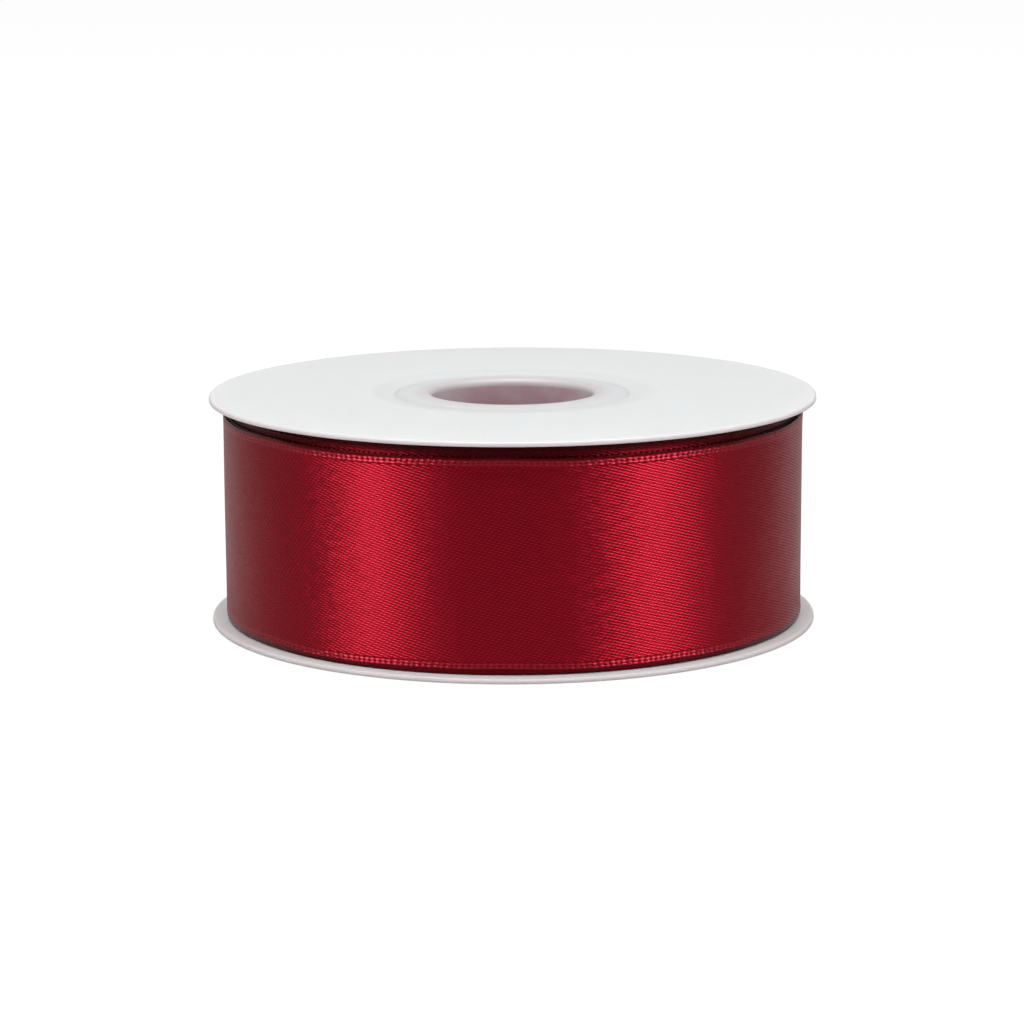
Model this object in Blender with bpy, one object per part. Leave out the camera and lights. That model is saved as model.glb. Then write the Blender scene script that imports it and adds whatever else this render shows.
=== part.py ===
"""A ribbon spool: satin ribbon wound on a plastic core between two thin discs.

Each disc dips to a seat round its hole. An eyelet drops through the hole, its collar lies flush
in the seat, and its slotted sleeve snaps into a groove inside the core tube, so the two eyelets hold
the discs on the core. The ribbon starts on a strip of double-sided tape round the core. Its free
end lies on the last turn, at the back, under a small piece of clear tape, and it peels open about
an upright line at its root.

Metres, +Z up along the spool's axis, origin at the middle of the bottom face, front towards -Y.
Angles run anticlockwise from +X, seen from above.
"""

from math import cos, pi, radians, sin

import bmesh
import bpy
from mathutils import Matrix

MM = 0.001

# Ribbon
RIBBON_WIDTH = 25.0 * MM
RIBBON_THICKNESS = 0.2 * MM
SIDE_PLAY = 2.0 * MM  # what the gap between the discs has over the ribbon's width
LAST_TURNS = 0.65 * MM  # stack of the last turns, which sit lower than the rest
LAST_TURNS_SLIP = 0.6 * MM
TAIL_LENGTH = 36.0 * MM
TAIL_ROOT = radians(62.0)

# Discs
DISC_RADIUS = 37.5 * MM
DISC_THICKNESS = 0.6 * MM
DISC_OVERHANG = 1.7 * MM  # what the discs stand out past the wound ribbon
DISC_EDGE = 0.15 * MM
DISH_WIDTH = 2.4 * MM
DISH_DROP = 0.3 * MM  # the disc's face dips this far down to the collar's edge, which lies flush
SEAT_DROP = 0.55 * MM

# Eyelets
BORE_RADIUS = 10.0 * MM
SLEEVE_WALL = 0.9 * MM
SLEEVE_DEPTH = 8.0 * MM
LIP_ROUND = 0.85 * MM
LIP_INSET = 0.05 * MM  # the lip's crest stays this far below the disc's face
COLLAR_WIDTH = 3.5 * MM
COLLAR_FLAT = 1.2 * MM
SNAP_HEIGHT = 0.25 * MM
SNAP_SETBACK = 2.1 * MM  # from the sleeve's tip to the middle of its snap bead
SNAP_CREST = 0.3 * MM
SNAP_RAMP = 0.4 * MM
SLOT_WIDTH = 1.2 * MM
SLOT_LENGTH = 3.5 * MM
TIP_CHAMFER = 0.3 * MM

# Core tube
CORE_WALL = 1.15 * MM
CORE_CHAMFER = 0.3 * MM

# Tapes
TAPE_THICKNESS = 0.1 * MM
START_TAPE_LENGTH = 10.0 * MM
START_TAPE_MARGIN = 0.5 * MM  # what each tape leaves free of the ribbon's width, on each side
END_TAPE_LENGTH = 12.0 * MM
END_TAPE_MARGIN = 3.0 * MM
END_TAPE_STEP = 2.0 * MM  # length over which the tape comes down off the ribbon's end

# Clearances
SEAT_GAP = 0.1 * MM
SLIDE_FIT = 0.15 * MM
TURN_GAP = 0.15 * MM
TAPE_GAP = 0.1 * MM

# Facets round a full turn
DISC_FACETS = 96
HUB_FACETS = 64
END_TAPE_FACETS = 360

# Worked out from the sizes above
HEIGHT = RIBBON_WIDTH + SIDE_PLAY + 2 * DISC_THICKNESS
SLEEVE_RADIUS = BORE_RADIUS + SLEEVE_WALL
SNAP_DEPTH = SLEEVE_DEPTH - SNAP_SETBACK
COLLAR_RADIUS = SLEEVE_RADIUS + COLLAR_WIDTH
HOLE_RADIUS = SLEEVE_RADIUS + SNAP_HEIGHT + SLIDE_FIT
SEAT_RADIUS = COLLAR_RADIUS + SLIDE_FIT
CORE_BORE = SLEEVE_RADIUS + SLIDE_FIT
CORE_RADIUS = CORE_BORE + CORE_WALL
CORE_END = DISC_THICKNESS + SEAT_DROP + SEAT_GAP
START_TAPE_RADIUS = CORE_RADIUS + TAPE_GAP
ROLL_BORE = START_TAPE_RADIUS + TAPE_THICKNESS + TAPE_GAP
WOUND_RADIUS = DISC_RADIUS - DISC_OVERHANG
ROLL_RADIUS = WOUND_RADIUS - LAST_TURNS - TURN_GAP
ROLL_LOW = DISC_THICKNESS + SIDE_PLAY / 2
LAST_LOW = ROLL_LOW - LAST_TURNS_SLIP
LAST_HIGH = LAST_LOW + RIBBON_WIDTH
TAIL_RADIUS = WOUND_RADIUS + TURN_GAP
TAIL_END = TAIL_ROOT + TAIL_LENGTH / TAIL_RADIUS


def material(name, colour, roughness, metallic=0.0):
    made = bpy.data.materials.new(name)
    made.use_nodes = True
    shader = made.node_tree.nodes["Principled BSDF"]
    shader.inputs["Base Color"].default_value = (*colour, 1.0)
    shader.inputs["Roughness"].default_value = roughness
    shader.inputs["Metallic"].default_value = metallic
    return made


def add_piece(name, mesh, finish, location=(0.0, 0.0, 0.0), rotation=(0.0, 0.0, 0.0)):
    """An object for one piece. Two pieces may share a mesh and so its material."""
    if not mesh.materials:
        mesh.materials.append(finish)
    piece = bpy.data.objects.new(name, mesh)
    piece.location = location
    piece.rotation_euler = rotation
    bpy.context.scene.collection.objects.link(piece)
    return piece


def finished(bm, name, sharp_from=radians(35.0)):
    """The mesh of a closed bmesh: faces out, smooth but for its corners."""
    bmesh.ops.recalc_face_normals(bm, faces=bm.faces)
    mesh = bpy.data.meshes.new(name)
    bm.to_mesh(mesh)
    bm.free()
    mesh.shade_smooth()
    mesh.set_sharp_from_angle(angle=sharp_from)
    return mesh


def arc(centre, radius, start, end, steps):
    """Points of a circle in the (radius, height) plane, from angle start to angle end."""
    angles = [start + (end - start) * i / steps for i in range(steps + 1)]
    return [(centre[0] + radius * cos(a), centre[1] + radius * sin(a)) for a in angles]


def turned(name, section, facets):
    """A closed section of (radius, height) points, spun a full turn round Z."""
    bm = bmesh.new()
    corners = [bm.verts.new((radius, 0.0, height)) for radius, height in section]
    sides = [bm.edges.new(pair) for pair in zip(corners, corners[1:] + corners[:1])]
    bmesh.ops.spin(
        bm,
        geom=corners + sides,
        cent=(0.0, 0.0, 0.0),
        axis=(0.0, 0.0, 1.0),
        angle=2 * pi,
        steps=facets,
        use_merge=True,
    )
    return finished(bm, name)


def facets_over(angle, full_turn):
    """An even number of facets, so that one edge falls on the middle of the stretch."""
    return 2 * max(1, round(full_turn * angle / (4 * pi)))


def wound(name, inner, thickness, start, end, facets, low, high):
    """A strip standing on its edge round Z, from angle start to end. inner(angle) is its inner radius."""
    bm = bmesh.new()
    stations = []
    for i in range(facets + 1):
        angle = start + (end - start) * i / facets
        near = inner(angle)
        far = near + thickness
        corners = ((near, low), (far, low), (far, high), (near, high))
        stations.append([bm.verts.new((r * cos(angle), r * sin(angle), z)) for r, z in corners])
    for this, after in zip(stations, stations[1:]):
        for i in range(4):
            j = (i + 1) % 4
            bm.faces.new((this[i], this[j], after[j], after[i]))
    bm.faces.new(stations[0])
    bm.faces.new(stations[-1])
    return finished(bm, name)


def disc_section():
    """Heights count from the disc's outer face, which looks up."""
    rim = DISC_RADIUS - DISC_EDGE
    dish_mouth = SEAT_RADIUS + DISH_WIDTH
    inside = -DISC_THICKNESS
    upper_edge = arc((rim, -DISC_EDGE), DISC_EDGE, pi / 2, 0.0, 2)
    lower_edge = arc((rim, inside + DISC_EDGE), DISC_EDGE, 0.0, -pi / 2, 2)
    seat_floor = -SEAT_DROP
    seat_below = inside - SEAT_DROP
    return [
        (dish_mouth, 0.0),
        *upper_edge,
        *lower_edge,
        (dish_mouth, inside),
        (SEAT_RADIUS, seat_below),
        (HOLE_RADIUS, seat_below),
        (HOLE_RADIUS, seat_floor),
        (SEAT_RADIUS, seat_floor),
        (SEAT_RADIUS, -DISH_DROP),
    ]


def snap_bead(radius, grow=0.0):
    """The snap bead on a wall of this radius, top to bottom. grow widens it into its groove."""
    top = -SNAP_DEPTH + SNAP_CREST / 2 + grow
    bottom = -SNAP_DEPTH - SNAP_CREST / 2 - grow
    crest = radius + SNAP_HEIGHT
    return [(radius, top + SNAP_RAMP), (crest, top), (crest, bottom), (radius, bottom - SNAP_RAMP)]


def eyelet_section():
    """Heights count from the disc's outer face: down the bore, up the sleeve, out and over the collar."""
    lip_centre = (BORE_RADIUS + LIP_ROUND, -LIP_INSET - LIP_ROUND)
    collar_under = -SEAT_DROP + SEAT_GAP
    tip = -SLEEVE_DEPTH
    return [
        *arc(lip_centre, LIP_ROUND, pi / 2, pi, 4),
        (BORE_RADIUS, tip + TIP_CHAMFER),
        (BORE_RADIUS + TIP_CHAMFER, tip),
        (SLEEVE_RADIUS - TIP_CHAMFER, tip),
        (SLEEVE_RADIUS, tip + TIP_CHAMFER),
        *reversed(snap_bead(SLEEVE_RADIUS)),
        (SLEEVE_RADIUS, collar_under),
        (COLLAR_RADIUS, collar_under),
        (COLLAR_RADIUS, -DISH_DROP),
        (COLLAR_RADIUS - COLLAR_FLAT, -DISH_DROP),
    ]


def core_section():
    """Both ends alike: a chamfered mouth, and the groove that each eyelet's bead snaps into."""
    upper_groove = [(r, HEIGHT + z) for r, z in snap_bead(CORE_BORE, SLIDE_FIT)]
    lower_groove = [(r, -z) for r, z in reversed(snap_bead(CORE_BORE, SLIDE_FIT))]
    low = CORE_END
    high = HEIGHT - CORE_END
    return [
        (CORE_RADIUS, low),
        (CORE_RADIUS, high),
        (CORE_BORE + CORE_CHAMFER, high),
        (CORE_BORE, high - CORE_CHAMFER),
        *upper_groove,
        *lower_groove,
        (CORE_BORE, low + CORE_CHAMFER),
        (CORE_BORE + CORE_CHAMFER, low),
    ]


def ring_section(inner, outer, low, high):
    return [(inner, low), (outer, low), (outer, high), (inner, high)]


def slot_cutter(name, angle, owner):
    """A bar across the sleeve's lower end, which opens one slot on each side."""
    bm = bmesh.new()
    length = 4 * SLEEVE_RADIUS
    height = 2 * SLOT_LENGTH
    bmesh.ops.create_cube(bm, size=1.0, matrix=Matrix.Diagonal((length, SLOT_WIDTH, height, 1.0)))
    cutter = bpy.data.objects.new(name, finished(bm, name))
    cutter.location = (0.0, 0.0, -SLEEVE_DEPTH)
    cutter.rotation_euler = (0.0, 0.0, angle)
    cutter.parent = owner
    cutter.hide_render = True
    cutter.display_type = "WIRE"
    bpy.context.scene.collection.objects.link(cutter)
    return cutter


def cut_slots(eyelet):
    for side, angle in (("a", pi / 4), ("b", 3 * pi / 4)):
        cut = eyelet.modifiers.new("slot_" + side, "BOOLEAN")
        cut.operation = "DIFFERENCE"
        cut.solver = "EXACT"
        cut.object = slot_cutter(eyelet.name + "_slot_" + side, angle, eyelet)


def add_flanges(disc_plastic, hub_plastic):
    """Two discs and two eyelets, the lower pair upside down."""
    disc_mesh = turned("disc", disc_section(), DISC_FACETS)
    eyelet_mesh = turned("eyelet", eyelet_section(), HUB_FACETS)
    ends = (("top", "upper", HEIGHT, 0.0), ("bottom", "lower", 0.0, pi))
    for disc_name, eyelet_name, height, turn in ends:
        place = (0.0, 0.0, height)
        over = (turn, 0.0, 0.0)
        add_piece(disc_name + "_disc", disc_mesh, disc_plastic, place, over)
        cut_slots(add_piece(eyelet_name + "_hub_eyelet", eyelet_mesh, hub_plastic, place, over))


def add_core(hub_plastic, tape_film):
    add_piece("core_tube", turned("core", core_section(), HUB_FACETS), hub_plastic)
    half_turn = START_TAPE_LENGTH / START_TAPE_RADIUS / 2
    tape = wound(
        "start_tape",
        lambda angle: START_TAPE_RADIUS,
        TAPE_THICKNESS,
        -half_turn,
        half_turn,
        facets_over(2 * half_turn, HUB_FACETS),
        ROLL_LOW + START_TAPE_MARGIN,
        ROLL_LOW + RIBBON_WIDTH - START_TAPE_MARGIN,
    )
    add_piece("ribbon_start_tape", tape, tape_film)


def add_wound_ribbon(satin):
    roll = ring_section(ROLL_BORE, ROLL_RADIUS, ROLL_LOW, ROLL_LOW + RIBBON_WIDTH)
    add_piece("ribbon_roll", turned("roll", roll, DISC_FACETS), satin)
    last = ring_section(WOUND_RADIUS - LAST_TURNS, WOUND_RADIUS, LAST_LOW, LAST_HIGH)
    add_piece("ribbon_outer_turns", turned("outer_turns", last, DISC_FACETS), satin)


def end_tape_radius(angle):
    """On the ribbon's end, then down to the last turn over END_TAPE_STEP."""
    on_tail = TAIL_RADIUS + RIBBON_THICKNESS + TAPE_GAP
    past = (angle - TAIL_END) * on_tail
    down = min(max((past - TAPE_GAP) / END_TAPE_STEP, 0.0), 1.0)
    return on_tail - (on_tail - TAIL_RADIUS) * down


def add_tail(satin, tape_film):
    """The ribbon's free end and its tape, on an empty that stands on the line they peel about."""
    hinge = bpy.data.objects.new("tail_hinge", None)
    reach = TAIL_RADIUS + RIBBON_THICKNESS / 2
    middle = (LAST_LOW + LAST_HIGH) / 2
    hinge.location = (reach * cos(TAIL_ROOT), reach * sin(TAIL_ROOT), middle)
    hinge.empty_display_size = RIBBON_WIDTH / 2
    bpy.context.scene.collection.objects.link(hinge)
    tail = wound(
        "tail",
        lambda angle: TAIL_RADIUS,
        RIBBON_THICKNESS,
        TAIL_ROOT,
        TAIL_END,
        facets_over(TAIL_END - TAIL_ROOT, DISC_FACETS),
        LAST_LOW,
        LAST_HIGH,
    )
    half_tape = END_TAPE_LENGTH / TAIL_RADIUS / 2
    tape = wound(
        "tape_over_end",
        end_tape_radius,
        TAPE_THICKNESS,
        TAIL_END - half_tape,
        TAIL_END + half_tape,
        facets_over(2 * half_tape, END_TAPE_FACETS),
        LAST_LOW + END_TAPE_MARGIN,
        LAST_HIGH - END_TAPE_MARGIN,
    )
    for name, mesh, finish in (("ribbon_tail", tail, satin), ("end_tape", tape, tape_film)):
        mesh.transform(Matrix.Translation(-hinge.location))
        add_piece(name, mesh, finish).parent = hinge


def clear_scene():
    for obj in list(bpy.data.objects):
        bpy.data.objects.remove(obj, do_unlink=True)


def main():
    clear_scene()
    disc_plastic = material("white_polystyrene", (0.86, 0.85, 0.85), 0.35)
    hub_plastic = material("milky_polypropylene", (0.78, 0.72, 0.73), 0.4)
    satin = material("red_satin", (0.26, 0.008, 0.02), 0.38)
    tape_film = material("clear_tape", (0.8, 0.8, 0.78), 0.15)
    add_flanges(disc_plastic, hub_plastic)
    add_core(hub_plastic, tape_film)
    add_wound_ribbon(satin)
    add_tail(satin, tape_film)


main()
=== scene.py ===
from functools import partial

import bpy
import numpy as np
from mathutils import Euler, Matrix, Vector


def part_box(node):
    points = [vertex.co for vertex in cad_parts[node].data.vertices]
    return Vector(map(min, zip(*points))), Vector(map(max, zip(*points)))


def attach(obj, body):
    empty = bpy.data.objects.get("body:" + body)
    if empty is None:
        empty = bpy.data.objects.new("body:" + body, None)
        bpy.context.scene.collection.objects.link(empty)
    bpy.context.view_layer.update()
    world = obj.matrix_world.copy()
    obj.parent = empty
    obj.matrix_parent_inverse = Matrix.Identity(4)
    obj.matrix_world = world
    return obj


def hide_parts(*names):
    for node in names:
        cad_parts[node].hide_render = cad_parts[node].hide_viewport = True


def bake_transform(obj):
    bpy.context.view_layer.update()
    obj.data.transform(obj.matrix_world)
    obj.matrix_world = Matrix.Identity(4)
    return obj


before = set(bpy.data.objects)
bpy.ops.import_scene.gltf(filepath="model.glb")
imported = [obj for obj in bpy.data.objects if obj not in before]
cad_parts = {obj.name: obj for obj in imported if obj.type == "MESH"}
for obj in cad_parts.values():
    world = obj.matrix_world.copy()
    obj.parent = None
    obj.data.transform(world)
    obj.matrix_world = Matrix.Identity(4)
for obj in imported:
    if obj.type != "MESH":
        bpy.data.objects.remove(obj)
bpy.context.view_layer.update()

mm = 0.001
turn = 2 * np.pi

# The spool's own sizes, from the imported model
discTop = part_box("top_disc")[1]
height = discTop.z
discRadius = discTop.x
rollLow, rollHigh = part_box("ribbon_roll")
lastLow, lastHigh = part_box("ribbon_outer_turns")
ribbonWidth = lastHigh.z - lastLow.z
wound = lastHigh.x
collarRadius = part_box("upper_hub_eyelet")[1].x
coreLow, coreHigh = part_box("core_tube")

# The selvedge's stitches, the same in the weave and in the relief
stitchLength = 0.72 * mm
stitchRow = 0.42 * mm

scene = bpy.context.scene
scene.view_settings.view_transform = "Standard"


# Shapes

def surface(name, points, finish, uv=None, closeU=False, closeV=False, smoothTo=40.0):
    # points[i, j] is a grid of places and each face takes four neighbours. A closed direction joins
    # its last row to its first, and a tube that is open along the other one gets a face at each end.
    rows, columns = points.shape[:2]
    number = np.arange(rows * columns).reshape(rows, columns)
    number = np.vstack([number, number[:1]]) if closeU else number
    number = np.hstack([number, number[:, :1]]) if closeV else number
    corners = (number[:-1, :-1], number[1:, :-1], number[1:, 1:], number[:-1, 1:])
    faces = np.stack(corners, axis=-1).reshape(-1, 4)
    ends = []
    if closeV and not closeU:
        ends = [number[0, :-1].tolist(), number[-1, :-1][::-1].tolist()]
    return meshPiece(name, points.reshape(-1, 3), faces.tolist() + ends, finish, uv, smoothTo)


def meshPiece(name, points, faces, finish, uv=None, smoothTo=40.0):
    # smoothTo is the angle in degrees from which an edge stays sharp
    mesh = bpy.data.meshes.new(name)
    mesh.from_pydata(points.tolist(), [], faces)
    if uv is not None:
        corner = np.empty(len(mesh.loops), np.int32)
        mesh.loops.foreach_get("vertex_index", corner)
        layer = mesh.uv_layers.new(name="ribbonMap")
        layer.data.foreach_set("uv", uv.reshape(-1, 2)[corner].astype(np.float32).ravel())
    mesh.materials.append(finish)
    mesh.shade_smooth()
    mesh.set_sharp_from_angle(angle=np.radians(smoothTo))
    piece = bpy.data.objects.new(name, mesh)
    scene.collection.objects.link(piece)
    return piece


def rounded(corners, steps=6):
    # Each corner is (radius, height, fillet): the fillet is an arc that touches both sides
    line = []
    for before, here, after in zip(corners[-1:] + corners[:-1], corners, corners[1:] + corners[:1]):
        place, fillet = np.array(here[:2]), here[2]
        if not fillet:
            line.append(place)
            continue
        back = np.array(before[:2]) - place
        on = np.array(after[:2]) - place
        back, on = back / np.linalg.norm(back), on / np.linalg.norm(on)
        half = np.arccos(np.clip(back @ on, -1, 1)) / 2
        centre = place + (back + on) / np.linalg.norm(back + on) * fillet / np.sin(half)
        reach = fillet / np.tan(half)
        start = place + back * reach - centre
        end = place + on * reach - centre
        sweep = np.pi - 2 * half
        share = np.linspace(0, 1, steps + 1)[:, None]
        arc = np.sin((1 - share) * sweep) * start + np.sin(share * sweep) * end
        line.extend(centre + arc / np.sin(sweep))
    return np.array(line)


def spun(line, segments):
    # A closed outline of (radius, height) turned once round the axis
    angle = np.linspace(0, turn, segments, endpoint=False)[:, None]
    radius, level = line[None, :, 0], line[None, :, 1] + 0 * angle
    return np.stack([radius * np.cos(angle), radius * np.sin(angle), level], axis=-1)


def atEnd(points, upper):
    # Heights count from the spool's outer face: raised to the top, or turned over about the X axis
    return points + (0, 0, height) if upper else points * (1, -1, -1)


# Materials

def colour(code):
    # sRGB hex to linear
    srgb = np.array([int(code[i : i + 2], 16) for i in (1, 3, 5)]) / 255
    linear = np.where(srgb <= 0.04045, srgb / 12.92, ((srgb + 0.055) / 1.055) ** 2.4)
    return (*linear.tolist(), 1.0)


def addNode(tree, kind, inputs, output=0, **settings):
    # inputs lists or maps the sockets to values or to other nodes' outputs
    node = tree.nodes.new("ShaderNode" + kind)
    for name, value in settings.items():
        setattr(node, name, value)
    for socket, value in inputs.items() if isinstance(inputs, dict) else enumerate(inputs):
        if isinstance(value, bpy.types.NodeSocket):
            tree.links.new(value, node.inputs[socket])
        else:
            node.inputs[socket].default_value = value
    return node.outputs[output] if node.outputs else node


def newFinish(name):
    # An empty material, and a way to add nodes to it
    made = bpy.data.materials.new(name)
    made.use_nodes = True
    made.node_tree.nodes.clear()
    return made, partial(addNode, made.node_tree)


noiseSpan = (0.3, 0.7)  # nearly all of a noise texture's values lie between these

discSheet = {
    "white": "#EEEDED",
    # the next three give painted shade: a greyer ring on the dish round the hub
    "thin": "#E6E6E6",
    "thinFrom": 1.9 * mm,
    "thinTo": 3.9 * mm,
    # the next three give painted light: a lighter, pinker cut edge
    "rimLightTone": "#FBE9EB",
    "rimLightFrom": 0.12 * mm,
    "rimLightTo": 0.02 * mm,
    "roughness": 0.42,
    "uneven": 0.04,
    "grain": 0.35 * mm,
    "grainShare": 0.05,
    "ripple": 9.0 * mm,
    "rippleShade": 0.99,
    "relief": 0.05 * mm,
}


def polystyreneSheet():
    # High-impact polystyrene, rolled and die-cut: flat white, with a faint roller ripple and a fine
    # matt grain, which is drawn several times coarser than it is so that it shows at all
    d = discSheet
    made, node = newFinish("white high-impact polystyrene sheet")
    place = node("TexCoord", {}, "Object")
    flat = node("VectorMath", [place, (1, 1, 0)], operation="MULTIPLY")
    radius = node("VectorMath", [flat], "Value", operation="LENGTH")
    ripple = node("TexNoise", {"Vector": place, "Scale": 1 / d["ripple"], "Detail": 1.0})
    grain = node("TexNoise", {"Vector": place, "Scale": 1 / d["grain"], "Detail": 2.0})
    # painted shade: the sheet is painted greyer in a ring round the hub, standing in for the shade on the
    # dish that dips to the bore
    pastHubShade = [radius, collarRadius + d["thinFrom"], collarRadius + d["thinTo"], 0.0, 1.0]
    pastHubShade = node("MapRange", pastHubShade, interpolation_type="SMOOTHSTEP")
    white = node("Mix", {0: pastHubShade, 6: colour(d["thin"]), 7: colour(d["white"])}, 2, data_type="RGBA")
    # painted light: the cut edge is painted lighter and pinker, standing in for light let through the
    # sheet and red light thrown back from the ribbon
    rimLightMask = node("MapRange", [radius, discRadius - d["rimLightFrom"], discRadius - d["rimLightTo"], 0.0, 1.0])
    white = node("Mix", {0: rimLightMask, 6: white, 7: colour(d["rimLightTone"])}, 2, data_type="RGBA")
    shade = node("MapRange", [ripple, *noiseSpan, d["rippleShade"], 1.0])
    tone = node("HueSaturation", {"Color": white, "Value": shade})
    relief = node("Math", [grain, d["grainShare"], ripple], operation="MULTIPLY_ADD")
    bump = node("Bump", {"Height": relief, "Strength": 0.12, "Distance": d["relief"]})
    rough = [grain, *noiseSpan, d["roughness"] - d["uneven"], d["roughness"] + d["uneven"]]
    rough = node("MapRange", rough)
    shader = node("BsdfPrincipled", {
        "Base Color": tone,
        "Roughness": rough,
        "IOR": 1.59,
        "Specular IOR Level": 0.3,
        "Subsurface Weight": 0.7,
        "Subsurface Radius": (1.0, 0.75, 0.75),
        "Subsurface Scale": 1.2 * mm,
        "Normal": bump,
    })
    node("OutputMaterial", [shader])
    return made


hubMoulding = {
    # the lip tone is painted shade, darker towards the bore
    "lip": "#D9D2D4",
    "collar": "#E4E3E4",
    # the two wall tones are painted: a greyer one for the shade in the bore, a pinker one for red light
    # from the ribbon shining through
    "shaded": "#D8CCCF",
    "deep": "#CBA8B2",
    "lipShadeFrom": 3.6 * mm,
    "lipShadeTo": 1.6 * mm,
    "wallFrom": 0.75 * mm,
    "wallTo": 1.15 * mm,
    "cloud": 6 * mm,
    "patch": (0.35, 0.65),
    "roughness": 0.36,
    "uneven": 0.05,
    "relief": 0.08 * mm,
}


def naturalPolypropylene():
    # Unpigmented polypropylene, injection moulded and milky. Its wall down the bore is painted pink:
    # painted light, standing in for the ribbon's red light shining through it.
    h = hubMoulding
    made, node = newFinish("natural polypropylene moulding")
    place = node("TexCoord", {}, "Object")
    flat = node("VectorMath", [place, (1, 1, 0)], operation="MULTIPLY")
    radius = node("VectorMath", [flat], "Value", operation="LENGTH")
    # depth below the nearer end of the spool
    level = node("SeparateXYZ", [place], 2)
    fromMiddle = node("Math", [level, height / 2], operation="SUBTRACT")
    fromMiddle = node("Math", [fromMiddle], operation="ABSOLUTE")
    depth = node("Math", [height / 2, fromMiddle], operation="SUBTRACT")
    cloud = node("TexNoise", {"Vector": place, "Scale": 1 / h["cloud"], "Detail": 2.0})
    # painted shade: the collar is painted darker towards the bore, over the rolled lip
    outward = node("MapRange", [radius, collarRadius - h["lipShadeFrom"], collarRadius - h["lipShadeTo"], 0.0, 1.0])
    collar = node("Mix", {0: outward, 6: colour(h["lip"]), 7: colour(h["collar"])}, 2, data_type="RGBA")
    patch = node("MapRange", [cloud, *h["patch"], 0.0, 1.0], interpolation_type="SMOOTHSTEP")
    wall = node("Mix", {0: patch, 6: colour(h["shaded"]), 7: colour(h["deep"])}, 2, data_type="RGBA")
    # painted light and shade: below the lip the wall takes the painted wall tones
    inside = [depth, h["wallFrom"], h["wallTo"], 0.0, 1.0]
    inside = node("MapRange", inside, interpolation_type="SMOOTHSTEP")
    tone = node("Mix", {0: inside, 6: collar, 7: wall}, 2, data_type="RGBA")
    bump = node("Bump", {"Height": cloud, "Strength": 0.2, "Distance": h["relief"]})
    rough = [cloud, *noiseSpan, h["roughness"] - h["uneven"], h["roughness"] + h["uneven"]]
    rough = node("MapRange", rough)
    shader = node("BsdfPrincipled", {
        "Base Color": tone,
        "Roughness": rough,
        "IOR": 1.49,
        "Subsurface Weight": 0.3,
        "Subsurface Radius": (1.0, 0.7, 0.7),
        "Subsurface Scale": 0.6 * mm,
        "Normal": bump,
    })
    node("OutputMaterial", [shader])
    return made


# The three colours of a satin are those of its floats, its crossings and the crests between them. The
# crests' lighter colour is a painted highlight, the glint on each float's crown.
satin = {
    "face": ("#B60C26", "#9A061C", "#CC3A4C"),
    # packed holds darker copies of the face colours: painted shade for the turns under the last one
    "packed": ("#700514", "#5E0410", "#700514"),
    # the edge colour is painted shade along both edges of the ribbon
    "edge": "#5E0410",
    "uneven": 0.07,
    "weft": 0.252 * mm,
    "warp": 0.141 * mm,
    "crestSpan": (-0.5, -1.7),
    "lineSpan": (0.0, 0.95),
    "crossSpan": (-0.7, 0.5),
    "crossLeast": 0.1,
    "roughness": 0.36,
    "floatTilt": 0.15,
    "crossingTilt": -0.17,
    "crestTilt": 0.1,
    "threadSway": 0.03,
    "floatArch": 0.1,
    "selvedge": 1.0 * mm,
    "groove": (0.1 * mm, 0.06 * mm, 0.16 * mm),
    "edgeShadeSpan": (0.12 * mm, 0.5 * mm),
    "stitchSpan": (-1.2, 1.2),
    "stitchSlip": 5.0,
    "slipLength": 2.5 * mm,
}


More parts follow.
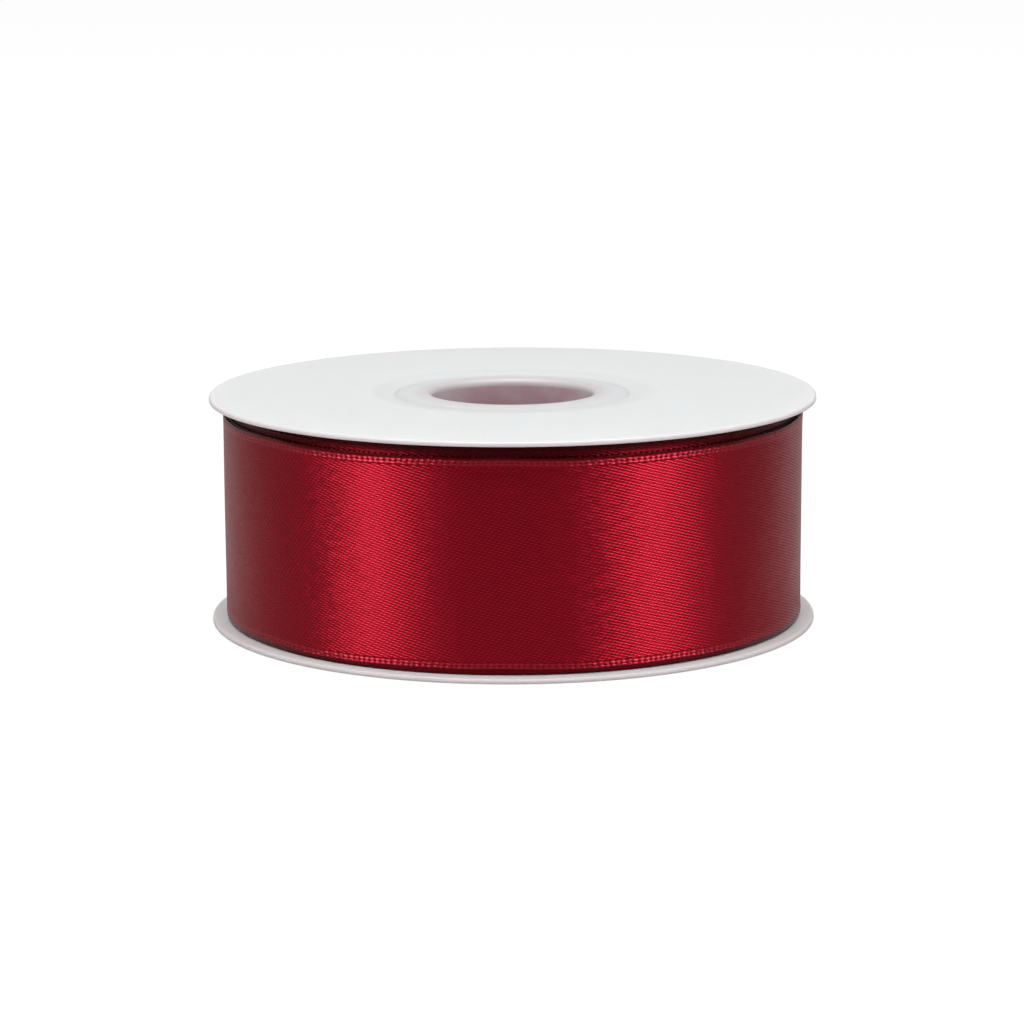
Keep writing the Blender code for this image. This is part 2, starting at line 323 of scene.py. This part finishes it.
def wovenSatin(name, face, crossing, bright):
    # Polyester satin: long parallel floats of bright filament, so it shines like brushed metal, in
    # bands across the threads
    w = satin
    made, node = newFinish(name)
    flat = node("UVMap", {}, uv_map="ribbonMap")
    along = node("SeparateXYZ", [flat], 0)
    across = node("SeparateXYZ", [flat], 1)
    # Five-end satin: the crossings lie on a lattice. One step of it is two picks along and a thread
    # down, the other a pick along and two threads up. Both numbers below are whole at each crossing.
    pick = node("Math", [along, w["weft"]], operation="DIVIDE")
    thread = node("Math", [across, w["warp"]], operation="DIVIDE")
    downRight = node("Math", [thread, -3.0, pick], operation="MULTIPLY_ADD")
    downRight = node("Math", [downRight, 5.0], operation="DIVIDE")
    upRight = node("Math", [thread, 2.0, pick], operation="MULTIPLY_ADD")
    upRight = node("Math", [upRight, 5.0], operation="DIVIDE")
    swing = node("Math", [upRight, turn], operation="MULTIPLY")
    onLine = node("Math", [swing], operation="COSINE")
    onCross = node("Math", [downRight, turn], operation="MULTIPLY")
    onCross = node("Math", [onCross], operation="COSINE")
    crest = node("Math", [onLine, onCross], operation="ADD")
    crest = node("MapRange", [crest, *w["crestSpan"], 0.0, 1.0], interpolation_type="SMOOTHSTEP")
    onLine = node("MapRange", [onLine, *w["lineSpan"], 0.0, 1.0], interpolation_type="SMOOTHSTEP")
    onCross = [onCross, *w["crossSpan"], w["crossLeast"], 1.0]
    onCross = node("MapRange", onCross, interpolation_type="SMOOTHSTEP")
    under = node("Math", [onLine, onCross], operation="MULTIPLY")
    over = node("Math", [1.0, under], operation="SUBTRACT")
    # the selvedge is woven tighter: two rows of short, uneven stitches, then a groove
    farEdge = node("Math", [ribbonWidth, across], operation="SUBTRACT")
    fromEdge = node("Math", [across, farEdge], operation="MINIMUM")
    slip = node("TexNoise", {"Vector": flat, "Scale": 1 / w["slipLength"], "Detail": 1.0})
    slip = node("Math", [slip, w["stitchSlip"]], operation="MULTIPLY")
    stitch = node("Math", [along, turn / stitchLength, slip], operation="MULTIPLY_ADD")
    stitch = node("Math", [stitch], operation="COSINE")
    row = node("Math", [fromEdge, turn / stitchRow], operation="MULTIPLY")
    row = node("Math", [row], operation="COSINE")
    stitch = node("Math", [stitch, row], operation="ADD")
    stitch = node("MapRange", [stitch, *w["stitchSpan"], 0.0, 1.0], interpolation_type="SMOOTHSTEP")
    before, after, bodyFrom = w["groove"]
    groove = node("MapRange", [fromEdge, w["selvedge"] - before, w["selvedge"], 1.0, 0.0])
    stitch = node("Math", [stitch, groove], operation="MULTIPLY")
    # painted shade: both edges are painted dark over their last half millimetre, for the shade where the
    # ribbon meets the discs, and the stitches fade out there
    edge = node("MapRange", [fromEdge, *w["edgeShadeSpan"], 0.0, 1.0], interpolation_type="SMOOTHSTEP")
    stitch = node("Math", [stitch, edge], operation="MULTIPLY")
    body = node("MapRange", [fromEdge, w["selvedge"] + after, w["selvedge"] + bodyFrom, 0.0, 1.0])
    over = node("Mix", {0: body, 2: stitch, 3: over})
    # every float draws a number: it is a little lighter or darker, and turned a little to one side
    cell = [node("Math", [value], operation="ROUND") for value in (downRight, upRight)]
    cell = node("CombineXYZ", cell)
    chance = node("TexWhiteNoise", {"Vector": cell}, "Value", noise_dimensions="2D")
    tone = node("Mix", {0: over, 6: colour(crossing), 7: colour(face)}, 2, data_type="RGBA")
    # painted highlight: the crests, and the selvedge stitches, take the lighter crest colour
    crest = node("Mix", {0: body, 2: stitch, 3: crest})
    tone = node("Mix", {0: crest, 6: tone, 7: colour(bright)}, 2, data_type="RGBA")
    tone = node("Mix", {0: edge, 6: colour(w["edge"]), 7: tone}, 2, data_type="RGBA")
    shade = node("MapRange", [chance, 0.0, 1.0, 1 - w["uneven"], 1 + w["uneven"]])
    tone = node("HueSaturation", {"Color": tone, "Value": shade})
    # the crown of a float looks up and the dip at a crossing looks down. The cloth arches from one
    # row of crossings to the next, so that the two sides of a row turn away from each other.
    lift = node("MapRange", [over, 0.0, 1.0, w["crossingTilt"], w["floatTilt"]])
    lift = node("Math", [crest, w["crestTilt"], lift], operation="MULTIPLY_ADD")
    sway = node("MapRange", [chance, 0.0, 1.0, -w["threadSway"], w["threadSway"]])
    arch = node("Math", [swing], operation="SINE")
    sway = node("Math", [arch, -w["floatArch"], sway], operation="MULTIPLY_ADD")
    normal = node("NewGeometry", {}, "Normal")
    tangent = node("Tangent", {}, direction_type="UV_MAP", uv_map="ribbonMap")
    side = node("VectorMath", {0: tangent, "Scale": sway}, operation="SCALE")
    upward = node("CombineXYZ", {2: lift})
    leaned = node("VectorMath", [normal, side], operation="ADD")
    leaned = node("VectorMath", [leaned, upward], operation="ADD")
    leaned = node("VectorMath", [leaned], operation="NORMALIZE")
    shader = node("BsdfPrincipled", {
        "Base Color": tone,
        "Metallic": 1.0,
        "Roughness": w["roughness"],
        "Anisotropic": 0.6,
        "Anisotropic Rotation": 0.25,
        "Tangent": tangent,
        "Normal": leaned,
        "Coat Weight": 0.12,
        "Coat Roughness": 0.26,
        "Coat Normal": leaned,
    })
    node("OutputMaterial", [shader])
    return made


tapeGlue = {
    "tint": "#F4F1EC",
    "cloud": 1.5 * mm,
    "roughness": (0.08, 0.2),
    "cloudSpan": (0.35, 0.75),
    "alpha": (0.03, 0.07),
}


def clearTape():
    # Polypropylene film with acrylic glue: clear, glossy, a little cloudy where the glue has air in it
    g = tapeGlue
    made, node = newFinish("clear polypropylene tape")
    place = node("TexCoord", {}, "Object")
    cloud = node("TexNoise", {"Vector": place, "Scale": 1 / g["cloud"], "Detail": 3.0})
    shader = node("BsdfPrincipled", {
        "Base Color": colour(g["tint"]),
        "Roughness": node("MapRange", [cloud, *noiseSpan, *g["roughness"]]),
        "IOR": 1.49,
        "Alpha": node("MapRange", [cloud, *g["cloudSpan"], *g["alpha"]]),
    })
    node("OutputMaterial", [shader])
    return made


sheetPlastic = polystyreneSheet()
hubPlastic = naturalPolypropylene()
satinFace = wovenSatin("red polyester satin", *satin["face"])
# a darker copy of the satin: painted shade for the turns in the pack, which take little light
shadedSatinCopy = wovenSatin("red polyester satin painted shade copy", *satin["packed"])
tapeFilm = clearTape()
print("materials made")


# Discs: a flat sheet with a soft edge, drawn down round the hub to the collar's edge

disc = {
    "thickness": 0.6 * mm,
    "upperEdge": 0.36 * mm,
    "lowerEdge": 0.08 * mm,
    "dishWidth": 2.4 * mm,
    "dishDrop": 0.3 * mm,
    "seatDrop": 0.55 * mm,
    "seatRadius": collarRadius + 0.008 * mm,
    "hole": 11.3 * mm,
    "segments": 480,
}


def discOutline(outerEdge, innerEdge):
    # A sheet's section with a dish at its hub; heights count from the outer face
    d = disc
    mouth = d["seatRadius"] + d["dishWidth"]
    return rounded([
        (mouth, 0.0, 9.0 * mm),
        (discRadius, 0.0, outerEdge),
        (discRadius, -d["thickness"], innerEdge),
        (mouth, -d["thickness"], 2.0 * mm),
        (d["seatRadius"], -d["thickness"] - d["seatDrop"], 0.5 * mm),
        (d["hole"], -d["thickness"] - d["seatDrop"], 0.1 * mm),
        (d["hole"], -d["seatDrop"], 0.1 * mm),
        (d["seatRadius"], -d["seatDrop"], 0.02 * mm),
        (d["seatRadius"], -d["dishDrop"], 0.015 * mm),
    ])


# Eyelets: a lip rolled over the bore, a collar flush with the disc, a slotted sleeve with a snap bead

eyelet = {
    "bore": 10.0 * mm,
    "sleeve": 10.9 * mm,
    "depth": 8.0 * mm,
    "lip": 0.85 * mm,
    "lipRound": 0.833 * mm,
    "lipInset": 0.05 * mm,
    "collarFlat": 1.2 * mm,
    "collarDrop": 0.3 * mm,
    "collarUnder": 0.45 * mm,
    "beadHeight": 0.25 * mm,
    "beadDepth": 5.9 * mm,
    "beadFoot": 0.55 * mm,
    "beadCrest": 0.15 * mm,
    "slotDepth": 4.5 * mm,
    "slotWidth": 1.2 * mm,
    "segments": 360,
}


def eyeletOutline():
    # Down the bore, round the tip, up the sleeve over the bead and round the collar; heights count
    # from the disc's face
    e = eyelet
    crest = e["sleeve"] + e["beadHeight"]
    return rounded([
        (e["bore"], -e["lipInset"], e["lipRound"]),
        (e["bore"], -e["slotDepth"], 0.0),
        (e["bore"], -e["depth"], 0.25 * mm),
        (e["sleeve"], -e["depth"], 0.25 * mm),
        (e["sleeve"], -e["beadDepth"] - e["beadFoot"], 0.15 * mm),
        (crest, -e["beadDepth"] - e["beadCrest"], 0.1 * mm),
        (crest, -e["beadDepth"] + e["beadCrest"], 0.1 * mm),
        (e["sleeve"], -e["beadDepth"] + e["beadFoot"], 0.15 * mm),
        (e["sleeve"], -e["slotDepth"], 0.0),
        (e["sleeve"], -e["collarUnder"], 0.05 * mm),
        (collarRadius, -e["collarUnder"], 0.04 * mm),
        (collarRadius, -e["collarDrop"], 0.015 * mm),
        (collarRadius - e["collarFlat"], -e["collarDrop"], 1.2 * mm),
        (e["bore"] + e["lip"] + 0.3 * mm, -e["lipInset"], 0.6 * mm),
    ])


def eyeletMesh():
    # The outline spun round the axis, less four slots: each slot's cells are left out and its walls closed
    e = eyelet
    line = eyeletOutline()
    points = spun(line, e["segments"])
    tip = np.flatnonzero(np.isclose(line[:, 1], -e["slotDepth"]))
    first, last = tip[0], tip[-1]
    half = int(round(e["slotWidth"] / e["sleeve"] / turn * e["segments"] / 2))
    eighth = e["segments"] // 8
    columns = len(line)
    number = np.arange(e["segments"] * columns).reshape(e["segments"], columns)
    i, j = np.meshgrid(np.arange(e["segments"]), np.arange(columns), indexing="ij")
    fromSlot = (i - eighth) % (2 * eighth)
    inSlot = ((fromSlot < half) | (fromSlot >= 2 * eighth - half)) & (j >= first) & (j < last)
    nextI, nextJ = (i + 1) % e["segments"], (j + 1) % columns
    cells = np.stack([number[i, j], number[nextI, j], number[nextI, nextJ], number[i, nextJ]], axis=-1)
    faces = cells[~inSlot].tolist()
    for slot in range(4):
        low = (eighth * (2 * slot + 1) - half) % e["segments"]
        high = (low + 2 * half) % e["segments"]
        faces.append(number[low, first : last + 1][::-1].tolist())
        faces.append(number[high, first : last + 1].tolist())
        across = (low + np.arange(2 * half)) % e["segments"]
        beyond = (across + 1) % e["segments"]
        roof = (number[across, first], number[beyond, first], number[beyond, last], number[across, last])
        faces.extend(np.stack(roof, axis=-1).tolist())
    return points, faces


def addFlanges():
    # The die rounds the upper edge of both discs, so the lower one isn't quite the upper one turned over
    edges = (disc["upperEdge"], disc["lowerEdge"])
    eyeletPoints, eyeletFaces = eyeletMesh()
    for end, side in (("top", "upper"), ("bottom", "lower")):
        upper = end == "top"
        outline = discOutline(*edges if upper else edges[::-1])
        points = atEnd(spun(outline, disc["segments"]), upper)
        sheet = surface(end + "FlangeDisc", points, sheetPlastic, closeU=True, closeV=True)
        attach(sheet, "spool")
        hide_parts(end + "_disc")
        points = atEnd(eyeletPoints, upper).reshape(-1, 3)
        bush = meshPiece(side + "HubEyelet", points, eyeletFaces, hubPlastic)
        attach(bush, "spool")
        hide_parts(side + "_hub_eyelet")


addFlanges()
print("discs and eyelets made")


# Core tube: both ends alike, with a groove for each eyelet's bead

core = {
    "bore": 11.05 * mm,
    "groove": 0.25 * mm,
    "grooveHalf": 0.35 * mm,
    "chamfer": 0.3 * mm,
    "segments": 256,
}


def addCore():
    # The tube's section, spun: down the bore the wall steps out into a groove and back, twice
    c = core
    low, high = coreLow.z, coreHigh.z
    deep = c["bore"] + c["groove"]
    corners = [
        (coreHigh.x, low, 0.1 * mm),
        (coreHigh.x, high, 0.1 * mm),
        (c["bore"] + c["chamfer"], high, 0.05 * mm),
        (c["bore"], high - c["chamfer"], 0.05 * mm),
    ]
    for middle in (height - eyelet["beadDepth"], eyelet["beadDepth"]):
        for step, wall in ((2, c["bore"]), (1, deep), (-1, deep), (-2, c["bore"])):
            corners.append((wall, middle + step * c["grooveHalf"], 0.05 * mm))
    corners.append((c["bore"], low + c["chamfer"], 0.05 * mm))
    corners.append((c["bore"] + c["chamfer"], low, 0.05 * mm))
    points = spun(rounded(corners, 3), c["segments"])
    tube = surface("coreTube", points, hubPlastic, closeU=True, closeV=True)
    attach(tube, "spool")
    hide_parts("core_tube")
    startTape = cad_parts["ribbon_start_tape"]
    startTape.data.materials.clear()
    startTape.data.materials.append(tapeFilm)


addCore()
print("core made")


# Ribbon: one long strip wound anticlockwise from the core outwards. Angles are measured along the
# winding, and the free end is at the largest one.

ribbon = {
    "thickness": 0.14 * mm,
    "pitch": 0.155 * mm,
    "woundFrom": 12.5 * mm,
    "endAngle": np.radians(119.4),
    "rootAngle": np.radians(62.0),
    "seamAngle": np.radians(42.0),
    "liftAngle": np.radians(8.0),
    "tailLift": 0.2 * mm,
    "tailBend": 10 * mm,
    "seed": 11,
}
stations = {"innerEachTurn": 68, "slippedEachTurn": 480, "lastTurn": 2270, "freeEnd": 480}

# How the turns under the last one lie. Counted back from the free end's root, the inner turns end
# after innerLeft turns and the slipped ones start at slippedLeft.
turns = {
    "innerLeft": 5,
    "innerUneven": 0.12 * mm,
    "innerKnots": 7,
    "slippedLeft": 4,
    "slippedInset": 3.2 * ribbon["pitch"],
    "slippedDrop": 0.37 * mm,
    "slippedOver": 0.6 * turn,
    "slippedWave": 0.02 * mm,
    "slippedWaves": 1.7,
}

# How far the last turn and the free end stand off a plain spiral
clothRelief = {
    "wave": 0.022 * mm,
    "edgeWave": 0.03 * mm,
    "edgeSway": 0.05 * mm,
    "edgeDepth": 1.5 * mm,
    "stitchHeight": 0.04 * mm,
    "rowWidth": 0.12 * mm,
    "innerRowWidth": 0.1 * mm,
    "scallop": 0.012 * mm,
    "lowerPhase": 1.7,
    "wander": 0.8,
    "wanderLength": 3.1 * mm,
}

draws = np.random.default_rng(ribbon["seed"])
waves = [
    (turn / (length * mm), draws.uniform(-0.5, 0.5), draws.uniform(0, turn), size)
    for length, size in ((41, 1.0), (27, 0.8), (17, 0.6), (11.3, 0.35), (7.1, 0.2))
]

# Rows across the width, closer together at both selvedges
edgeRows = np.array([0.0, 0.12, 0.2, 0.3, 0.42, 0.54, 0.66, 0.78, 0.9, 1.05, 1.3, 1.7, 2.3, 3.2, 4.5])
edgeRows = edgeRows * mm / ribbonWidth
faceRows = np.concatenate([edgeRows, np.linspace(0.25, 0.75, 9), 1 - edgeRows[::-1]])
fewRows = np.array([0.0, 1.0])


def smoothStep(value):
    # 0 up to 0, 1 from 1 on, and 3v^2 - 2v^3 between
    value = np.clip(value, 0, 1)
    return value * value * (3 - 2 * value)


def outerFace(angle):
    # Radius of the last turn's outer face: one pitch a turn, and a rise where the free end lies over it
    spiral = wound + ribbon["pitch"] * (angle + np.pi / 2) / turn
    rise = smoothStep((angle - ribbon["liftAngle"]) / (ribbon["rootAngle"] - ribbon["liftAngle"]))
    return spiral + ribbon["tailLift"] * rise


def slowWave(along, across, shift=0.0):
    # A sum of long, slanting waves
    total = 0
    for number, slant, phase, size in waves:
        total = total + size * np.sin(number * (along + slant * across) + phase + shift)
    return total


def stripSection(faceRows, backRows, closed):
    # Depth under the outer face and place across the width, both from 0 to 1: up the face, over
    # the upper edge, down the back. The edges are half circles.
    bend = np.linspace(-np.pi / 2, np.pi / 2, 5)[1:-1]
    roundEdge = 0.5 * ribbon["thickness"] / ribbonWidth
    upper = np.stack([0.5 + 0.5 * np.sin(bend), 1 - roundEdge + roundEdge * np.cos(bend)], 1)
    lower = np.stack([0.5 - 0.5 * np.sin(bend), roundEdge - roundEdge * np.cos(bend)], 1)
    face = np.stack([0 * faceRows, np.clip(faceRows, roundEdge, 1 - roundEdge)], 1)
    back = np.stack([0 * backRows + 1, np.clip(backRows, roundEdge, 1 - roundEdge)[::-1]], 1)
    if closed:
        return np.vstack([face, upper, back, lower])
    return np.vstack([lower, face, upper])


def lengthAlong(angle, radius):
    # Distance along a spiral from its first station
    step = np.hypot(np.diff(radius), np.diff(angle) * (radius[1:] + radius[:-1]) / 2)
    return np.concatenate([[0], np.cumsum(step)])


def strip(name, angle, radius, level, section, finish, along, relief=None, closed=True):
    # The section stands upright at every station: the outer face is at radius and the lower edge at
    # level. All three are arrays along the ribbon, and the relief moves each point out and up.
    depth, share = section[None, :, 0], section[None, :, 1]
    across = share * ribbonWidth + 0 * along[:, None]
    length = along[:, None] + 0 * across
    out = radius[:, None] - depth * ribbon["thickness"]
    up = level[:, None] + across
    if relief is not None:
        lifted, raised = relief(length, across, depth)
        out = out + lifted
        up = up + raised
    swing = angle[:, None]
    points = np.stack([out * np.cos(swing), out * np.sin(swing), up + 0 * out], axis=-1)
    uv = np.stack([length, across], axis=-1)
    return surface(name, points, finish, uv=uv, closeV=closed, smoothTo=60.0)


def selvedge(along, across, depth):
    # Slow waves over the whole width, and two rows of stitches along each edge: a low bump at every
    # stitch on the outer face, and a slight scallop of the edge itself
    c = clothRelief
    fromEdge = np.minimum(across, ribbonWidth - across)
    upper = across > ribbonWidth / 2
    phase = turn * along / stitchLength + np.where(upper, 0.0, c["lowerPhase"])
    bead = np.clip(np.cos(phase + c["wander"] * np.sin(along / c["wanderLength"])), 0, 1)
    row = np.exp(-(((fromEdge - stitchRow) / c["rowWidth"]) ** 2))
    innerRow = np.exp(-(((fromEdge - 2 * stitchRow) / c["innerRowWidth"]) ** 2))
    rib = c["stitchHeight"] * (row * bead + 0.5 * innerRow * np.clip(-np.cos(phase), 0, 1))
    face = 1 - depth
    edge = np.exp(-fromEdge / c["edgeDepth"])
    slack = c["wave"] * slowWave(along, across)
    slackEdge = c["edgeWave"] * edge * slowWave(along, 0 * across, 2.0)
    sway = c["edgeSway"] * slowWave(along, 0 * across, 4.0) + c["scallop"] * edge * np.cos(phase)
    return slack + face * rib + slackEdge, sway


def addInnerTurns():
    # An even spiral from the core outwards, at slightly uneven heights
    start = ribbon["woundFrom"] + ribbon["thickness"]
    count = (rollHigh.x - start) / ribbon["pitch"]
    end = ribbon["rootAngle"] - turns["innerLeft"] * turn
    angle = np.linspace(end - count * turn, end, int(count * stations["innerEachTurn"]))
    radius = np.linspace(start, rollHigh.x, len(angle))
    step = turn / turns["innerKnots"]
    knots = np.arange(angle[0], angle[-1] + 2 * step, step)
    uneven = turns["innerUneven"]
    level = rollLow.z + np.interp(angle, knots, draws.uniform(-uneven, uneven, len(knots)))
    along = lengthAlong(angle, radius)
    section = stripSection(fewRows, fewRows, True)
    inner = strip("ribbonInnerTurns", angle, radius, level, section, shadedSatinCopy, along)
    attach(inner, "spool")
    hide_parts("ribbon_roll")


def addSlippedTurns():
    # The turns under the last one: a spiral that drops over its first part and then stays low
    t = turns
    start = ribbon["rootAngle"] - t["slippedLeft"] * turn
    end = ribbon["rootAngle"] - turn
    angle = np.linspace(start, end, (t["slippedLeft"] - 1) * stations["slippedEachTurn"])
    radius = np.linspace(wound - t["slippedInset"], outerFace(end), len(angle))
    drop = smoothStep((angle - start) / t["slippedOver"])
    low = lastLow.z - t["slippedDrop"]
    level = rollLow.z + (low - rollLow.z) * drop + t["slippedWave"] * np.sin(angle * t["slippedWaves"])
    along = lengthAlong(angle, radius)
    section = stripSection(fewRows, fewRows, True)
    slipped = strip("ribbonSlippedTurns", angle, radius, level, section, shadedSatinCopy, along)
    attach(slipped, "spool")


def addLastTurn():
    # The turn that shows: one turn of the last spiral, up to a seam hidden in the free end's root.
    # Gives back its length, from which the free end's weave goes on.
    angle = np.linspace(ribbon["rootAngle"] - turn, ribbon["seamAngle"], stations["lastTurn"])
    radius = outerFace(angle)
    level = lastLow.z + 0 * angle
    along = lengthAlong(angle, radius)
    section = stripSection(faceRows, fewRows, False)
    last = strip("ribbonLastTurn", angle, radius, level, section, satinFace, along, selvedge, closed=False)
    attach(last, "spool")
    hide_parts("ribbon_outer_turns")
    return along[-1]


def addFreeEnd(seam):
    # The rest of the same spiral from the seam on, up to the free end
    angle = np.linspace(ribbon["seamAngle"], ribbon["endAngle"], stations["freeEnd"])
    radius = outerFace(angle)
    level = lastLow.z + 0 * angle
    along = lengthAlong(angle, radius)
    section = stripSection(faceRows, faceRows[::3], True)
    tail = strip("ribbonFreeEnd", angle, radius, level, section, satinFace, seam + along, selvedge)
    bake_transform(tail)
    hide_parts("ribbon_tail")


addInnerTurns()
addSlippedTurns()
addFreeEnd(addLastTurn())
print("ribbon wound")


# End tape: a short film over the free end, its ends cut by a toothed blade

tape = {
    "length": 12 * mm,
    "thickness": 0.05 * mm,
    "margin": 3 * mm,
    "tooth": 1.2 * mm,
    "toothDepth": 0.45 * mm,
    "toothReach": 6,
    "overEnd": 0.03 * mm,
    "overTurn": 0.06 * mm,
    "fallFrom": 0.1 * mm,
    "fallLength": 1.1 * mm,
    "rows": 97,
    "stations": 81,
}


def addEndTape():
    # A grid bent round the ribbon, from the free end down to the turn below. Its stations are drawn
    # into teeth at both ends, by a power that leaves the middle straight.
    t = tape
    on = outerFace(ribbon["endAngle"]) + t["overEnd"]
    under = outerFace(ribbon["endAngle"] - turn) + t["overTurn"]
    across = t["margin"] + np.linspace(0, 1, t["rows"]) * (ribbonWidth - 2 * t["margin"])
    zigzag = t["toothDepth"] * np.abs(2 * ((across / t["tooth"]) % 1) - 1)
    along = np.linspace(-0.5, 0.5, t["stations"])[:, None] * t["length"]
    share = np.abs(along) / (t["length"] / 2)
    along = along - np.sign(along) * zigzag[None, :] * share ** t["toothReach"]
    angle = ribbon["endAngle"] + along / on
    fall = smoothStep((along - t["fallFrom"]) / t["fallLength"])
    low = on + (under - on) * fall
    level = lastLow.z + across[None, :] + 0 * angle
    front, back = (
        np.stack([radius * np.cos(angle), radius * np.sin(angle), level], -1)
        for radius in (low + t["thickness"], low)
    )
    film = surface("endTape", np.concatenate([front, back[:, ::-1]], axis=1), tapeFilm, closeV=True)
    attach(film, "tail")
    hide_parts("end_tape")


addEndTape()
print("tape laid")


# Studio

studio = {
    "floor": 30.0,
    "floorGap": 0.02 * mm,
    "floorCloud": 1 / 3,
    "floorTones": ("#F7F7F7", "#F9F9F9"),
    "floorBounce": "#AEAEAE",
    "floorGlow": 1.05,
    "floorGlowShare": 0.9,
    "sideLight": 3.0,
    "sideAngle": 56.0,
    "sideSize": (0.45, 0.55),
    "sideHeight": 0.31,
    "sideAway": 1.0,
    "sideAim": (0, 0, 0.014),
    "topLight": 4.3,
    "topPlace": (0, -0.15, 1.6),
    "topSize": (1.6, 1.2),
    "surround": 0.155,
    "behind": 0.5,
    "behindFrom": 0.8,
}


def paperFloor():
    # Matt white paper. The camera sees it bright, and it throws less light back up at the ribbon.
    made, node = newFinish("matt white paper floor")
    place = node("TexCoord", {}, "Object")
    cloud = node("TexNoise", {"Vector": place, "Scale": 1 / studio["floorCloud"], "Detail": 2.0})
    share = node("MapRange", [cloud, *noiseSpan, 0.0, 1.0])
    darker, lighter = (colour(tone) for tone in studio["floorTones"])
    tone = node("Mix", {0: share, 6: darker, 7: lighter}, 2, data_type="RGBA")
    paper = node("BsdfDiffuse", [tone])
    glow = node("Emission", [colour("#FFFFFF"), studio["floorGlow"]])
    seen = node("MixShader", [studio["floorGlowShare"], paper, glow])
    bounced = node("BsdfDiffuse", [colour(studio["floorBounce"])])
    direct = node("LightPath", {}, "Is Camera Ray")
    node("OutputMaterial", [node("MixShader", [direct, bounced, seen])])
    return made


def addFloor():
    # A level square just under the spool
    size = studio["floor"]
    line = np.linspace(-size / 2, size / 2, 3)
    x, y = np.meshgrid(line, line, indexing="ij")
    floor = surface("floor", np.stack([x, y, 0 * x - studio["floorGap"]], -1), paperFloor())


def areaLight(name, place, look, size, radiance):
    # A softbox. Its power is radiance times area times pi, in the same units as the world's strength.
    lamp = bpy.data.lights.new(name, "AREA")
    lamp.shape = "RECTANGLE"
    lamp.size, lamp.size_y = size
    lamp.energy = radiance * size[0] * size[1] * np.pi
    box = bpy.data.objects.new(name, lamp)
    place, look = np.array(place), np.array(look)
    box.location = place
    box.rotation_euler = Vector(look - place).to_track_quat("-Z", "Y").to_euler()
    scene.collection.objects.link(box)


def addLights():
    # Two softboxes low in front, one on each side, and a large one overhead
    s = studio
    for name, side in (("softboxLeft", -1), ("softboxRight", 1)):
        turnTo = np.radians(s["sideAngle"])
        place = (side * np.sin(turnTo) * s["sideAway"], -np.cos(turnTo) * s["sideAway"], s["sideHeight"])
        areaLight(name, place, s["sideAim"], s["sideSize"], s["sideLight"])
    areaLight("overhead", s["topPlace"], (0, 0, 0), s["topSize"], s["topLight"])


def addWorld():
    # Dim grey surroundings, lighter straight behind the spool. The camera itself sees plain white.
    world = bpy.data.worlds.new("studio")
    scene.world = world
    world.use_nodes = True
    world.node_tree.nodes.clear()
    node = partial(addNode, world.node_tree)
    behind = node("SeparateXYZ", [node("TexCoord", {}, "Generated")], 1)
    strength = [behind, studio["behindFrom"], 1.0, studio["surround"], studio["behind"]]
    strength = node("MapRange", strength)
    light = node("Background", [colour("#FFFFFF"), strength])
    seen = node("Background", [colour("#FFFFFF"), 1.0])
    direct = node("LightPath", {}, "Is Camera Ray")
    node("OutputWorld", [node("MixShader", [direct, light, seen])])


camera = {
    "lens": 119.92,
    "pitch": np.radians(10.84),
    "roll": np.radians(-0.24),
    "away": 0.4251,
    "shift": (-0.00096, -0.00956),
}


def addCamera():
    # In front of the spool and a little above it, tipped down to look at its middle
    c = camera
    lens = bpy.data.cameras.new("camera")
    lens.sensor_width = 36.0
    lens.lens = c["lens"]
    lens.shift_x, lens.shift_y = c["shift"]
    lens.clip_start = 0.01
    lens.clip_end = 100
    eye = bpy.data.objects.new("camera", lens)
    eye.location = (0, -c["away"] * np.cos(c["pitch"]), height / 2 + c["away"] * np.sin(c["pitch"]))
    level = Euler((np.pi / 2 - c["pitch"], 0, 0)).to_matrix()
    eye.rotation_euler = (level @ Matrix.Rotation(c["roll"], 3, "Z")).to_euler()
    scene.collection.objects.link(eye)
    scene.camera = eye


addFloor()
addLights()
addWorld()
addCamera()
print("studio lit")
